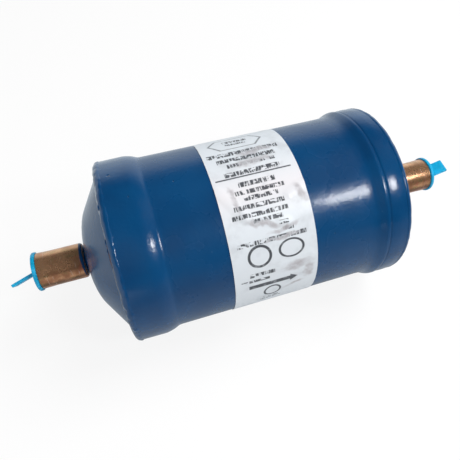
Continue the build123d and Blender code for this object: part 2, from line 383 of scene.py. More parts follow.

# %% [markdown]
# The gloss decides whether it reads as enamel. The paint lies smoother on the two stretched rings than on
# the plain tube between them, where the highlight is wide and soft. A thin clear coat gives the sheen at
# the edges. The skin is raised by slow waves, by fine orange peel and by the dust, and a few small pits
# are set into it at listed places. The coat takes the same bumps, or its highlights would stay smooth.

# %% Gloss of the enamel
PITS = [(-42.7, -33.8, -7.5, 0.8), (-40.9, -33.6, -7.4, 0.5), (-28.6, -3.3, 33.8, 0.35),
        (-49.5, 5.0, 35.1, 0.8), (-44.5, -6.9, 34.9, 0.3), (23.0, -30.0, 16.0, 0.4),
        (48.0, -20.0, 29.0, 0.3)]
PIT_DEPTH = 0.35
SOFTER_ON_TUBE = 0.07


def pit(tree, point, x, y, z, size):
    """A small pit in the paint, at a place and of a radius in millimetres."""
    away = add(tree, "VectorMath", {0: point, 1: (x * MM, y * MM, z * MM)}, operation="DISTANCE")
    return ramp(tree, away.outputs["Value"], size * MM, 0.2 * size * MM)


x, y, z = axes_of(tree, point)
dull = ramp(tree, noise(tree, point, 90.0, 3.0), 0.3, 0.7, 0.18, 0.25)
dull = compute(tree, "ADD", dull, times(tree, scratched, 0.2))
on_rings = ramp(tree, compute(tree, "ABSOLUTE", x), 34.0 * MM, 41.0 * MM)
dull = compute(tree, "MULTIPLY_ADD", minus(tree, 1.0, on_rings), SOFTER_ON_TUBE, dull)
fill(tree, surface.inputs["Roughness"], dull)
surface.inputs["Specular IOR Level"].default_value = 0.4
surface.inputs["Coat Weight"].default_value = 0.30
surface.inputs["Coat Roughness"].default_value = 0.10
skin = bumps(tree, noise(tree, point, 160.0, 1.0), 0.06 * MM, 0.8)
skin = bumps(tree, noise(tree, point, 800.0, 3.0), 0.065 * MM, 0.8, skin)
skin = bumps(tree, specks, 0.05 * MM, 0.7, skin)
pits = larger(tree, *[pit(tree, point, *place) for place in PITS])
skin = bumps(tree, pits, -PIT_DEPTH * MM, 0.9, skin)
fill(tree, surface.inputs["Normal"], skin)
fill(tree, surface.inputs["Coat Normal"], skin)
print(paint.name, len(tree.nodes), "nodes,", len(PITS), "pits")

# %% [markdown]
# A finished piece still has to be tied to the solids. It rides on a body, so that it moves when the body
# does. It gets its material, and the solid that it stands for is hidden.


# %% Tie a piece to the solids
def dress(piece, body, material, finish, *nodes):
    """Gives a finished piece its body, its material and the solids it stands for."""
    piece.data.materials.clear()
    piece.data.materials.append(material)
    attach(piece, body)
    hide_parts(*nodes)


# %% [markdown]
# The body is a drawn tube with both ends expanded to take the caps. Its half section is turned on the
# lathe. The steps between the tube and the rings catch the highlights, so the inlet step has a wide round
# and the outlet step is a long S. The outlet ring carries a shallow groove left by the expanding tool,
# and both rings taper a little towards their rims.

# %% Steel body
WALL = 1.6
TUBE_RADIUS = 34.0
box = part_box("barrel")
tube_end = box[1].x / MM
ring = box[1].z / MM
inside_tube = TUBE_RADIUS - WALL
inside_ring = ring - WALL
inlet_step = [(-41.3, ring, 2.6), (-38.1, TUBE_RADIUS + 0.1, 0.5), (-36.8, TUBE_RADIUS, 0.5)]
outlet_step = [(38.2, TUBE_RADIUS, 0.9), (40.9, TUBE_RADIUS + 0.28, 1.0),
               (43.8, ring - 0.08, 0.5), (44.4, ring, 0.25)]
groove = [(44.9, ring - 0.02), (45.35, ring - 0.6, 0.15), (46.0, ring - 0.3, 0.2)]
barrel = turn_piece("barrel_tube", [
    (-tube_end, ring - 0.15, 0.35), *inlet_step, *outlet_step, *groove,
    (48.3, ring - 0.02, 1.9), (51.2, ring - 0.12, 1.4), (tube_end, ring - 0.3, 0.35),
    (tube_end, inside_ring), (44.4, inside_ring), (38.0, inside_tube),
    (-37.0, inside_tube), (-41.6, inside_ring), (-tube_end, inside_ring),
])
dress(barrel, "drier", paint, "body_paint", "barrel")

# %% [markdown]
# Each end is closed by a pressed cap: a skirt inside the ring, a steep cone and a broad rounded crown.
# The crown is rounded over several millimetres, so its bevel is large. The inlet cap is the outlet cap in
# a mirror, which turns a mesh inside out, so the normals of the copy are worked out again.


# %% Pressed caps
def choose(piece):
    """Selects one object and nothing else."""
    bpy.ops.object.select_all(action="DESELECT")
    piece.select_set(True)
    bpy.context.view_layer.objects.active = piece


def mirrored_copy(piece, name):
    """The same piece for the other end of the can, with its normals set right."""
    choose(piece)
    bpy.ops.object.duplicate()
    twin = bpy.context.object
    twin.name = twin.data.name = name
    twin.scale.x = -1.0
    bpy.ops.object.transform_apply(location=False, rotation=False, scale=True)
    bpy.ops.object.mode_set(mode="EDIT")
    bpy.ops.mesh.select_all(action="SELECT")
    bpy.ops.mesh.normals_make_consistent(inside=False)
    bpy.ops.object.mode_set(mode="OBJECT")
    return twin


NECK_RADIUS = 4.7
NECK_HOLE_RADIUS = NECK_RADIUS + 0.06
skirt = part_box("outlet_cap")[0].x / MM
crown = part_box("outlet_cap")[1].x / MM
outlet_dome = turn_piece("outlet_dome", [
    (skirt, TUBE_RADIUS), (52.9, TUBE_RADIUS, 1.9), (crown, 14.25, 5.4), (crown, NECK_HOLE_RADIUS),
    (crown - WALL, NECK_HOLE_RADIUS), (crown - WALL, 13.8), (52.0, inside_tube), (skirt, inside_tube),
])
inlet_dome = mirrored_copy(outlet_dome, "inlet_dome")
dress(outlet_dome, "drier", paint, "body_paint", "outlet_cap")
dress(inlet_dome, "drier", paint, "body_paint", "inlet_cap")

# %% [markdown]
# A bead of weld joins the rim of the tube to the cone. A torus would sit there like a wire. The real bead
# is a blunt filled corner with a sharp toe on the cone, and it is uneven because it was laid by a torch.
# So its section is turned in many steps, then lifted and sunk by two cloud patterns: a coarse one for the
# passes of the torch and a fine one for the ripples.


# %% Weld beads
def roughen(piece, grain, depth):
    """Lifts and sinks a surface by a cloud pattern; both sizes are in millimetres."""
    cloud = bpy.data.textures.new(f"{piece.name}_clouds", "CLOUDS")
    cloud.noise_scale = grain * MM
    cloud.noise_depth = 1
    choose(piece)
    uneven = piece.modifiers.new("uneven", "DISPLACE")
    uneven.texture = cloud
    uneven.strength = depth * MM
    uneven.mid_level = 0.5
    bpy.ops.object.modifier_apply(modifier="uneven")


def weld_bead(name, rim, unevenness):
    """A bead over the outlet end of the tube, whose rim has that radius."""
    on_rim = [(52.0, rim - 0.5), (52.2, rim - 0.03), (52.85, rim + 0.22, 0.25), (53.6, rim + 0.02, 0.35)]
    nose = [(54.35, rim - 0.55, 0.4), (54.88, rim - 1.7, 0.5), (55.06, rim - 3.0, 0.5)]
    toe = [(54.98, 31.2), (54.86, 30.7), (54.0, 31.3), (53.4, 33.0)]
    bead = turn_piece(name, [*on_rim, *nose, *toe], steps=360)
    roughen(bead, 3.5, 0.45 * unevenness)
    roughen(bead, 1.3, 0.22 * unevenness)
    return bead


outlet_bead = weld_bead("outlet_bead", ring - 0.3, 0.5)
spare_bead = weld_bead("spare_bead", ring - 0.15, 1.0)
inlet_bead = mirrored_copy(spare_bead, "inlet_bead")
bpy.data.objects.remove(spare_bead)

# %% [markdown]
# The torch also throws small drops of metal, which freeze beside the toe of the bead and glint under the
# paint. Noise can't place them well: too few is clean, too many is rust. One flattened sphere is modelled,
# and a copy is turned to each place from a short list and joined to its bead.

# %% Drops beside the beads
INLET_DROPS = [(12, 33.9, 54.5, 2.0), (33, 33.4, 54.8, 1.8), (38, 32.8, 54.9, 1.5), (26, 31.0, 54.9, 0.9),
               (34, 33.0, 54.9, 0.8), (41, 31.2, 55.0, 1.1), (49, 30.6, 55.0, 0.8), (57, 31.4, 55.0, 1.2),
               (63, 30.9, 55.0, 0.7), (71, 32.6, 55.0, 0.9), (79, 31.1, 55.0, 1.1), (92, 30.8, 55.0, 0.8),
               (108, 31.3, 55.0, 1.0), (150, 31.0, 55.0, 0.9)]
OUTLET_DROPS = [(20, 31.2, 55.0, 0.9), (65, 30.8, 55.0, 1.1), (110, 31.4, 55.0, 0.8),
                (170, 31.0, 55.0, 1.0), (235, 31.3, 55.0, 0.9), (300, 30.9, 55.0, 1.1)]


def add_drops(bead, side, drops):
    """Drops on the outlet side (1) or inlet side (-1); a drop is (turn, radius, along the axis, size)."""
    bpy.ops.object.select_all(action="DESELECT")
    bpy.ops.mesh.primitive_uv_sphere_add(segments=14, ring_count=8, radius=0.5 * MM)
    first = bpy.context.object
    bpy.ops.object.mode_set(mode="EDIT")
    bpy.ops.mesh.select_all(action="SELECT")
    bpy.ops.transform.resize(value=(0.6, 1.0, 0.8))
    bpy.ops.object.mode_set(mode="OBJECT")
    bpy.ops.object.shade_smooth_by_angle(angle=SMOOTH_BELOW)
    for turn, radius, along, size in drops:
        choose(first)
        bpy.ops.object.duplicate()
        drop = bpy.context.object
        drop.rotation_euler.x = math.radians(turn)
        drop.scale = (size, size * 1.4, size)
        drop.location = (side * along * MM, -radius * MM * math.sin(math.radians(turn)),
                         radius * MM * math.cos(math.radians(turn)))
        bpy.ops.object.transform_apply(location=True, rotation=True, scale=True)
        bead.select_set(True)
        bpy.context.view_layer.objects.active = bead
        bpy.ops.object.join()
    bpy.data.objects.remove(first)
    print(bead.name, "has", len(drops), "drops")


add_drops(inlet_bead, -1, INLET_DROPS)
add_drops(outlet_bead, 1, OUTLET_DROPS)
dress(outlet_bead, "drier", paint, "body_paint", "outlet_weld")
dress(inlet_bead, "drier", paint, "body_paint", "inlet_weld")

# %% [markdown]
# The sockets are copper, brazed into the crowns. The heat of the torch leaves copper brown, with olive
# and rosy patches. Over that, light is painted in by height: a golden painted sheen on top, and below it
# a dark painted reflection streak and a redder painted reflection of the floor. All of it wanders, because
# the height that sorts it is itself moved up and down by noise.

# %% Heat colours and painted reflections of the copper
LIGHT_BROWN = (0.74, 0.38, 0.20, 1.0)
DARK_BROWN = (0.44, 0.19, 0.10, 1.0)
OLIVE = (0.40, 0.27, 0.11, 1.0)
ROSY = (0.66, 0.18, 0.12, 1.0)
GOLDEN_PAINTED_SHEEN = (0.88, 0.55, 0.32, 1.0)
RED_PAINTED_FLOOR_REFLECTION = (0.42, 0.13, 0.075, 1.0)
DARK_PAINTED_REFLECTION = (0.13, 0.055, 0.035, 1.0)

copper, tree, surface = start_material("copper")
point = place_of(tree)
x, y, z = axes_of(tree, point)
cloudy = noise(tree, point, 170.0, 4.0, 0.6)
brown = blend_colours(tree, ramp(tree, cloudy, 0.38, 0.62), LIGHT_BROWN, DARK_BROWN)
olive = ramp(tree, noise(tree, stretched(tree, point, (1.0, 1.7, 1.7)), 210.0, 3.0), 0.52, 0.66)
brown = blend_colours(tree, times(tree, olive, 0.7), brown, OLIVE)
rosy = ramp(tree, noise(tree, stretched(tree, point, (1.5, 1.0, 1.0)), 260.0, 3.0, 0.5, 0.6), 0.58, 0.70)
brown = blend_colours(tree, times(tree, rosy, 0.6), brown, ROSY)
wander = compute(tree, "MULTIPLY_ADD", noise(tree, point, 220.0, 3.0), 3.0 * MM, -1.5 * MM)
height = compute(tree, "ADD", z, wander)
# Painted light by height: golden painted sheen on top, dark painted reflection streak and red painted floor
# reflection below
brown = blend_colours(tree, ramp(tree, height, 1.5 * MM, 6.0 * MM, 0.0, 0.35), brown, GOLDEN_PAINTED_SHEEN)
brown = blend_colours(tree, ramp(tree, height, -1.5 * MM, -4.0 * MM, 0.0, 0.7), brown, RED_PAINTED_FLOOR_REFLECTION)
streak = near(tree, height, -0.9 * MM, 0.9 * MM, 0.9 * MM)
brown = blend_colours(tree, times(tree, streak, 0.75), brown, DARK_PAINTED_REFLECTION)
print(copper.name, len(tree.nodes), "nodes")

# %% [markdown]
# Two kinds of mark show bright copper: a ring scored round each socket, and small nicks across it. The
# blue enamel was sprayed over the neck and ends in a ragged edge on the shoulder, with a second arc that
# reaches further on top. Both edges are a mask along the axis, and noise makes them ragged.

# %% Marks and paint on the copper
BRIGHT_COPPER = (0.90, 0.66, 0.52, 1.0)
SPRAYED_BLUE = (0.005, 0.04, 0.12, 1.0)
METALLIC = 0.82

length = compute(tree, "ABSOLUTE", x)
ring_at = compute(tree, "MULTIPLY_ADD", noise(tree, point, 160.0, 2.0), 1.0 * MM, 80.0 * MM)
scored = near(tree, length, ring_at, 0.05 * MM, 0.08 * MM)
scored = times(tree, scored, ramp(tree, cloudy, 0.4, 0.5))
nicks = ramp(tree, noise(tree, stretched(tree, point, (1500.0, 130.0, 130.0)), 1.0, 2.0), 0.68, 0.74)
bright = larger(tree, scored, nicks)
brown = blend_colours(tree, times(tree, bright, 0.7), brown, BRIGHT_COPPER)
edge_at = compute(tree, "MULTIPLY_ADD", noise(tree, point, 420.0, 2.0), 0.9 * MM, 65.8 * MM)
sprayed = ramp(tree, minus(tree, length, edge_at), 0.10 * MM, -0.10 * MM)
from_arc = compute(tree, "ABSOLUTE", minus(tree, length, 67.0 * MM))
arc_wide = compute(tree, "MULTIPLY_ADD", z, 0.07, -0.35 * MM)
arc_wide = compute(tree, "MULTIPLY_ADD", noise(tree, point, 420.0, 3.0), 1.0 * MM, arc_wide)
arc = ramp(tree, minus(tree, from_arc, arc_wide), 0.08 * MM, -0.08 * MM)
painted = larger(tree, sprayed, arc)
fill(tree, surface.inputs["Base Color"], blend_colours(tree, painted, brown, SPRAYED_BLUE))
fill(tree, surface.inputs["Metallic"], compute(tree, "MULTIPLY_ADD", painted, -METALLIC, METALLIC))
dull = ramp(tree, cloudy, 0.3, 0.7, 0.22, 0.34)
fill(tree, surface.inputs["Roughness"], compute(tree, "MULTIPLY_ADD", painted, -0.12, dull))
drawn = noise(tree, stretched(tree, point, (120.0, 1400.0, 1400.0)), 1.0, 2.0)
lines = bumps(tree, drawn, 0.006 * MM, 0.6)
fill(tree, surface.inputs["Normal"], bumps(tree, cloudy, 0.05 * MM, 0.5, lines))
print(copper.name, len(tree.nodes), "nodes")

# %% [markdown]
# A socket is one turned section too: a narrow neck through the crown, a rounded shoulder and a straight
# mouth that flares a little at its rim. Rounds on the shoulder and rim keep the edges from looking cut
# from paper.

# %% Sockets
SOCKET_RADIUS = 6.8
BORE_RADIUS = 6.05
NECK_BORE_RADIUS = NECK_RADIUS - 0.8
FLARE = 0.15
FLARE_LENGTH = 5.0
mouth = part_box("outlet_fitting")[1].x / MM
outlet_socket = turn_piece("outlet_socket", [
    (mouth, SOCKET_RADIUS + FLARE, 0.15), (mouth - FLARE_LENGTH, SOCKET_RADIUS),
    (crown + 1.7, SOCKET_RADIUS, 0.7), (crown + 0.9, NECK_RADIUS, 0.4), (crown - 2.8, NECK_RADIUS),
    (crown - 2.8, NECK_BORE_RADIUS), (crown + 1.65, NECK_BORE_RADIUS), (crown + 2.45, BORE_RADIUS, 0.4),
    (mouth - FLARE_LENGTH, BORE_RADIUS), (mouth, BORE_RADIUS + FLARE, 0.15),
], steps=96)
inlet_socket = mirrored_copy(outlet_socket, "inlet_socket")
dress(outlet_socket, "drier", copper, "copper", "outlet_fitting")
dress(inlet_socket, "drier", copper, "copper", "inlet_fitting")

# %% [markdown]
# Silver braze fills the corner between the neck and the crown, under the paint. It is a hollow fillet,
# not a bead, and a little lumpy where the torch went round.

# %% Brazed fillets
outlet_fillet = turn_piece("outlet_fillet", [
    (crown - 0.3, NECK_RADIUS + 2.3), (crown + 0.12, NECK_RADIUS + 1.8, 0.15),
    (crown + 0.35, NECK_RADIUS + 0.9, 0.25), (crown + 0.78, NECK_RADIUS + 0.28, 0.12),
    (crown + 0.85, NECK_RADIUS + 0.02), (crown - 0.3, NECK_RADIUS + 0.02),
], steps=96)
roughen(outlet_fillet, 2.0, 0.10)
inlet_fillet = mirrored_copy(outlet_fillet, "inlet_fillet")
dress(outlet_fillet, "drier", paint, "braze_paint", "outlet_braze")
dress(inlet_fillet, "drier", paint, "braze_paint", "inlet_braze")

# %% [markdown]
# Moulded plugs keep moisture out until the drier is fitted. Their plastic is soft and bright, a little
# see-through at thin edges, with faint flow marks and scuffs where the tabs are held.

# %% Cyan plastic
DEEP_CYAN = (0.0, 0.31, 0.54, 1.0)
LIGHT_CYAN = (0.002, 0.39, 0.67, 1.0)
SCUFFED_CYAN = (0.25, 0.6, 0.8, 1.0)

plastic, tree, surface = start_material("plug_plastic")
point = place_of(tree)
flow = noise(tree, point, 300.0, 3.0, 0.5, 0.8)
cyan = blend_colours(tree, ramp(tree, flow, 0.35, 0.65), DEEP_CYAN, LIGHT_CYAN)
scuffs = ramp(tree, noise(tree, stretched(tree, point, (300.0, 1800.0, 1200.0)), 1.0, 2.0), 0.66, 0.74)
cyan = blend_colours(tree, times(tree, scuffs, 0.25), cyan, SCUFFED_CYAN)
fill(tree, surface.inputs["Base Color"], cyan)
fill(tree, surface.inputs["Roughness"], ramp(tree, flow, 0.3, 0.7, 0.30, 0.45))
surface.inputs["Subsurface Weight"].default_value = 0.15
surface.inputs["Subsurface Scale"].default_value = 0.6 * MM
surface.inputs["Subsurface Radius"].default_value = (0.4, 0.9, 1.0)
fill(tree, surface.inputs["Normal"], bumps(tree, noise(tree, point, 1400.0, 2.0), 0.006 * MM, 0.6))
print(plastic.name, len(tree.nodes), "nodes")

# %% [markdown]
# Each plug is pulled out by a flat tab. It is a small block whose two outer corners are rounded first and
# all its edges after that, as a mould would leave them. It is made once as a helper, along X from the
# origin, because it is easier to shape there than at its slant.

# %% Tab of a plug
TAB_LENGTH = 10.0
TAB_WIDTH = 6.0
TAB_THICKNESS = 1.2


def tab_block():
    """The tab as a block along X from the origin, with its outer corners and its edges rounded."""
    bpy.ops.object.select_all(action="DESELECT")
    bpy.ops.mesh.primitive_cube_add(size=1.0)
    tab = bpy.context.object
    bpy.ops.object.mode_set(mode="EDIT")
    bpy.ops.transform.resize(value=(TAB_LENGTH * MM, TAB_WIDTH * MM, TAB_THICKNESS * MM))
    bpy.ops.transform.translate(value=(TAB_LENGTH / 2 * MM, 0.0, 0.0))
    mesh = bmesh.from_edit_mesh(tab.data)
    for edge in mesh.edges:
        middle = (edge.verts[0].co + edge.verts[1].co) / 2
        edge.select_set(middle.x > (TAB_LENGTH - 0.1) * MM and abs(middle.z) < 0.1 * MM)
    bmesh.update_edit_mesh(tab.data)
    bpy.ops.mesh.bevel(offset=0.9 * MM, segments=5, affect="EDGES")
    bpy.ops.mesh.select_all(action="SELECT")
    bpy.ops.mesh.bevel(offset=0.3 * MM, segments=3, affect="EDGES")
    bpy.ops.object.mode_set(mode="OBJECT")
    return tab


print("tab", TAB_LENGTH, "by", TAB_WIDTH, "by", TAB_THICKNESS, "mm")

# %% [markdown]
# A plug is a turned flange with a hollow spigot. Its tab leans over beside the axis, at its own turn for
# each plug, and is joined to the flange, because both are one moulding.

# %% Plugs
TAB_TILT = math.radians(17.5)
FLANGE_RADIUS = 7.5
FLANGE_THICKNESS = 1.4
SPIGOT_RADIUS = 5.95
SPIGOT_BORE_RADIUS = 5.1
SPIGOT_LENGTH = 4.5
flange_face = mouth + 0.05
flange_top = flange_face + FLANGE_THICKNESS


def plug(name, side, turn):
    """A plug for the outlet (side 1) or the inlet (-1); turn is the way its tab leans, from the top."""
    piece = turn_piece(name, [
        (flange_top, 0.0), (flange_top, FLANGE_RADIUS, 0.45), (flange_face, FLANGE_RADIUS, 0.4),
        (flange_face, SPIGOT_RADIUS + 0.05), (mouth - SPIGOT_LENGTH, SPIGOT_RADIUS, 0.3),
        (mouth - SPIGOT_LENGTH, SPIGOT_BORE_RADIUS, 0.2), (flange_face, SPIGOT_BORE_RADIUS),
        (flange_face, 0.0),
    ], steps=96, closed=False)
    if side < 0:
        turned = piece
        piece = mirrored_copy(turned, name + "_turned")
        bpy.data.objects.remove(turned)
        piece.name = piece.data.name = name
    outwards = Vector((side, 0.0, 0.0))
    lean = Vector((0.0, -math.sin(math.radians(turn)), math.cos(math.radians(turn))))
    tab_way = outwards * math.cos(TAB_TILT) + lean * math.sin(TAB_TILT)
    across = outwards.cross(lean)
    axes = Matrix((tab_way, across, tab_way.cross(across))).transposed()
    root = outwards * (flange_face + FLANGE_THICKNESS / 2) * MM
    tab = tab_block()
    tab.matrix_world = Matrix.Translation(root) @ axes.to_4x4()
    bpy.ops.object.transform_apply(location=True, rotation=True, scale=True)
    bpy.ops.object.shade_smooth_by_angle(angle=SMOOTH_BELOW)
    piece.select_set(True)
    bpy.context.view_layer.objects.active = piece
    bpy.ops.object.join()
    print(name, "tab leans", turn, "degrees from the top")
    return piece


dress(plug("outlet_stopper", 1, 9.0), "outlet_plug", plastic, "plug_plastic", "outlet_plug")
dress(plug("inlet_stopper", -1, 129.0), "inlet_plug", plastic, "plug_plastic", "inlet_plug")

# %% [markdown]
# The label is a paper-backed film that wraps half of the body. It is printed by its material: rows of
# marks stand for the small print, and the frame, ring, oval and arrow are plain shapes. Every mark is
# placed by its distance along the axis and by the turn round the body, both taken from the object's own
# space, so nothing slides when the label is seen from another side. The helpers work in millimetres:
# along is the distance along the axis, and down the distance round the label from the top of the body.


# %% Helpers for print
def bar(tree, along, down, start, end, turn, half):
    """A printed bar from start to end along the axis, at a turn in degrees."""
    wide = near(tree, along, (start + end) / 2, (end - start) / 2)
    return times(tree, wide, near(tree, down, turn * PER_DEGREE, half))


def ring_mark(tree, along, down, middle, turn, wide, high, stroke, six_sided=False):
    """A printed ring, oval or stretched hexagon, drawn as a stroke of even width."""
    across = compute(tree, "DIVIDE", minus(tree, along, middle), wide)
    up = compute(tree, "DIVIDE", minus(tree, down, turn * PER_DEGREE), high)
    if six_sided:
        across = compute(tree, "ABSOLUTE", across)
        up = compute(tree, "ABSOLUTE", up)
        radius = larger(tree, up, compute(tree, "MULTIPLY_ADD", up, 0.35, across))
    else:
        squares = compute(tree, "ADD", times(tree, across, across), times(tree, up, up))
        radius = compute(tree, "SQRT", squares)
    return near(tree, radius, 1.0, stroke / wide / 2, 0.03)


def rubbed_print_and_shade(tree, flat, along, turn, half_long, half_wide, slant):
    """A soft grey streak, 1 in its middle: where the print is rubbed, and painted shade where the film has
    a crease.
    """
    here = add(tree, "Mapping", {"Vector": flat, "Scale": (half_long, half_wide, 1.0),
                                 "Location": (along + SWIRL / 2, turn * PER_DEGREE + SWIRL / 2, 0.0),
                                 "Rotation": (0.0, 0.0, math.radians(slant))}, vector_type="TEXTURE")
    flattened = add(tree, "VectorMath", {0: here.outputs[0], 1: (1.0, 1.0, 0.0)}, operation="MULTIPLY")
    away = add(tree, "VectorMath", {0: flattened.outputs[0]}, operation="LENGTH").outputs["Value"]
    return ramp(tree, away, 1.15, 0.35)


SWIRL = 5.0
label_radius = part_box("label")[1].z / MM
PER_DEGREE = math.radians(1.0) * label_radius
print("one degree round the label is", round(PER_DEGREE, 3), "mm")

# %% [markdown]
# A row of small print is a bar broken up twice: by slow noise into words and by fast noise into strokes.
# That reads as print from a step away and spells nothing. A row is given by where it starts and ends along
# the axis, its turn in degrees from the top, and half its height.

# %% Rows of print
ROWS = [(-6.5, 3.0, -21.5, 1.1), (-6.0, 2.0, -17.0, 0.7), (-14.7, 12.3, -6.0, 1.15),
        (-12.0, 10.0, 0.0, 1.05), (-9.0, 9.0, 5.0, 0.8), (-11.0, 9.5, 11.0, 0.95),
        (-7.5, 6.0, 19.0, 0.95), (-9.5, 8.5, 24.0, 0.8), (-7.0, 5.5, 28.0, 0.8), (-11.5, 7.0, 33.0, 0.85),
        (-13.0, 7.5, 38.0, 0.8), (-6.5, 5.0, 42.0, 0.75), (3.0, 6.5, 46.0, 0.75), (4.0, 8.0, 50.0, 0.75),
        (-13.5, 12.3, 54.5, 0.8), (-10.5, -1.0, 76.0, 0.85), (-14.0, -3.0, 80.5, 0.6),
        (-5.0, 1.0, 103.0, 0.5), (-6.0, 2.0, 106.0, 0.5)]

printed, tree, surface = start_material("label_print")
x, y, z = axes_of(tree, place_of(tree))
along = times(tree, x, 1000.0)
down = times(tree, compute(tree, "ARCTAN2", times(tree, y, -1.0), z), label_radius)
flat = add(tree, "CombineXYZ", {0: along, 1: down, 2: 0.0}).outputs[0]
rows = larger(tree, *[bar(tree, along, down, *row) for row in ROWS])
words = ramp(tree, noise(tree, stretched(tree, flat, (0.42, 0.9, 1.0)), 1.0, 0.0), 0.34, 0.40)
strokes = ramp(tree, noise(tree, stretched(tree, flat, (1.7, 0.30, 1.0)), 1.0, 0.5), 0.38, 0.50, 0.15, 1.0)
rows = times(tree, rows, times(tree, words, strokes))
print(len(ROWS), "rows of print")

# %% [markdown]
# The larger marks are a rule, a flow arrow, a ring, an oval, a small ring and an empty six-sided frame.
# The head of the arrow is a wedge: it is inked where the distance from the shaft is less than a share of
# the distance to the tip.

# %% Shapes on the label
ARROW_TURN = 86.0
ARROW_TIP = 8.0

shaft = bar(tree, along, down, -11.0, 5.6, ARROW_TURN, 0.95)
to_tip = minus(tree, ARROW_TIP, along)
beside = compute(tree, "ABSOLUTE", minus(tree, down, ARROW_TURN * PER_DEGREE))
wedge = ramp(tree, minus(tree, beside, times(tree, to_tip, 0.6)), 0.1, -0.1)
head = times(tree, wedge, ramp(tree, along, 4.9, 5.1))
rule = bar(tree, along, down, -14.8, 13.3, 13.7, 0.27)
big_ring = ring_mark(tree, along, down, -6.0, 63.5, 4.0, 4.0, 1.0)
oval = ring_mark(tree, along, down, 6.0, 63.0, 4.5, 3.4, 0.9)
small_ring = ring_mark(tree, along, down, -1.8, 95.0, 3.1, 3.1, 0.8)
empty_frame = times(tree, ring_mark(tree, along, down, -1.8, -19.5, 10.4, 4.8, 0.9, six_sided=True), 0.8)
worn = ramp(tree, noise(tree, flat, 0.35, 4.0, 0.65), 0.25, 0.5, 0.55, 0.95)
shapes = larger(tree, shaft, head, rule, big_ring, oval, small_ring)
ink = times(tree, larger(tree, rows, shapes, empty_frame), worn)
print(printed.name, len(tree.nodes), "nodes")

# %% [markdown]
# The paper is a cold white, painted warmer and lighter in the middle as a painted sheen, and greyer where
# it is soiled. In a few places the print is rubbed, and painted shade lays a soft grey streak over the
# crease there. The streaks are ovals in a space that is stirred by noise, so their edges curl like smears.
# The ink is not quite black, and it fades inside the streaks.

# %% Paper, painted sheen, painted crease shade and ink
COLD_WHITE = (0.64, 0.68, 0.72, 1.0)
WARM_PAINTED_SHEEN_WHITE = (0.73, 0.70, 0.72, 1.0)
SOILED_WHITE = (0.38, 0.40, 0.43, 1.0)
PAINTED_CREASE_SHADE_GREY = (0.37, 0.35, 0.37, 1.0)
INK = (0.035, 0.04, 0.05, 1.0)
STREAKS = [(3.0, -4.5, 9.0, 1.8, -10), (1.5, 4.0, 8.5, 1.9, -6), (-2.5, 44.5, 8.0, 1.4, 16),
           (5.0, 49.5, 6.5, 1.1, -8), (3.0, 54.5, 9.0, 1.0, -3), (13.5, 32.0, 5.0, 2.0, 50),
           (7.5, 75.5, 6.0, 2.4, -6), (12.5, 82.0, 2.4, 4.5, 0), (-10.5, 28.0, 1.2, 5.5, -10),
           (7.0, 93.0, 5.0, 1.3, -20)]

# Painted sheen: the paper is lighter and warmer in a band round the middle, where the lamps fall on it
middle = near(tree, down, 24.0 * PER_DEGREE, 4.0, 10.0)
paper = blend_colours(tree, middle, COLD_WHITE, WARM_PAINTED_SHEEN_WHITE)
soiled = ramp(tree, noise(tree, flat, 0.11, 4.0, 0.55), 0.5, 0.72, 0.0, 0.35)
paper = blend_colours(tree, soiled, paper, SOILED_WHITE)
stir = add(tree, "TexNoise", {"Vector": flat, "Scale": 0.22, "Detail": 2.0}).outputs["Color"]
stirred = add(tree, "VectorMath", {0: stir, 1: (SWIRL, SWIRL, 0.0), 2: flat}, operation="MULTIPLY_ADD")
rubbed_and_shaded = larger(tree, *[rubbed_print_and_shade(tree, stirred.outputs[0], *streak) for streak in STREAKS])
ink = times(tree, ink, ramp(tree, rubbed_and_shaded, 0.3, 0.9, 1.0, 0.25))
# Painted shade: the streaks grey the paper where the film is creased, and fade the ink there
shade = times(tree, rubbed_and_shaded, ramp(tree, noise(tree, flat, 0.5, 2.0), 0.3, 0.7, 0.45, 0.85))
paper = blend_colours(tree, shade, paper, PAINTED_CREASE_SHADE_GREY)
fill(tree, surface.inputs["Base Color"], blend_colours(tree, ink, paper, INK))
fill(tree, surface.inputs["Roughness"], ramp(tree, noise(tree, flat, 0.5, 3.0), 0.3, 0.7, 0.28, 0.45))
waves = bumps(tree, noise(tree, flat, 0.16, 2.0), 0.12 * MM, 0.5)
fill(tree, surface.inputs["Normal"], bumps(tree, noise(tree, flat, 3.0, 3.0), 0.01 * MM, 0.5, waves))
print(printed.name, len(tree.nodes), "nodes")

# %% [markdown]
# The label could be a strip cut from the body's own surface, but then it couldn't crease. It is a flat
# sheet instead, creased while it is still flat and easy to measure, and then bent round the body. One
# helper cuts the sheet into a fine mesh, and one lifts it softly along a line.


# %% Helpers for the label sheet
def crease(sheet, start, end, rise, reach):
    """Lifts the flat sheet along a line, given by (along the axis, down the wrap) in millimetres."""
    first, last = Vector((start[0], -start[1])) * MM, Vector((end[0], -end[1])) * MM
    span = last - first

    def on_line(place):
        here = Vector((place.x, place.z)) - first
        share = max(0.0, min(1.0, here.dot(span) / span.length_squared))
        return (here - span * share).length < 0.6 * MM

    pick_points(sheet, on_line)
    bpy.ops.transform.translate(value=(0.0, -rise * MM, 0.0), use_proportional_edit=True,
                                proportional_edit_falloff="SMOOTH", proportional_size=reach * MM)


def cut_across(direction, half):
    """Cuts the whole sheet every millimetre along a direction, as far as half each way."""
    for step in range(-half, half + 1):
        bpy.ops.mesh.select_all(action="SELECT")
        bpy.ops.mesh.bisect(plane_co=[axis * step * MM for axis in direction], plane_no=direction)


print("helpers for the sheet ready")

# %% [markdown]
# The sheet starts as a plane of the label's own width and half the way round. Its corners are rounded
# before it is cut, so that the bevel works on four plain corners. The creases are low and short.

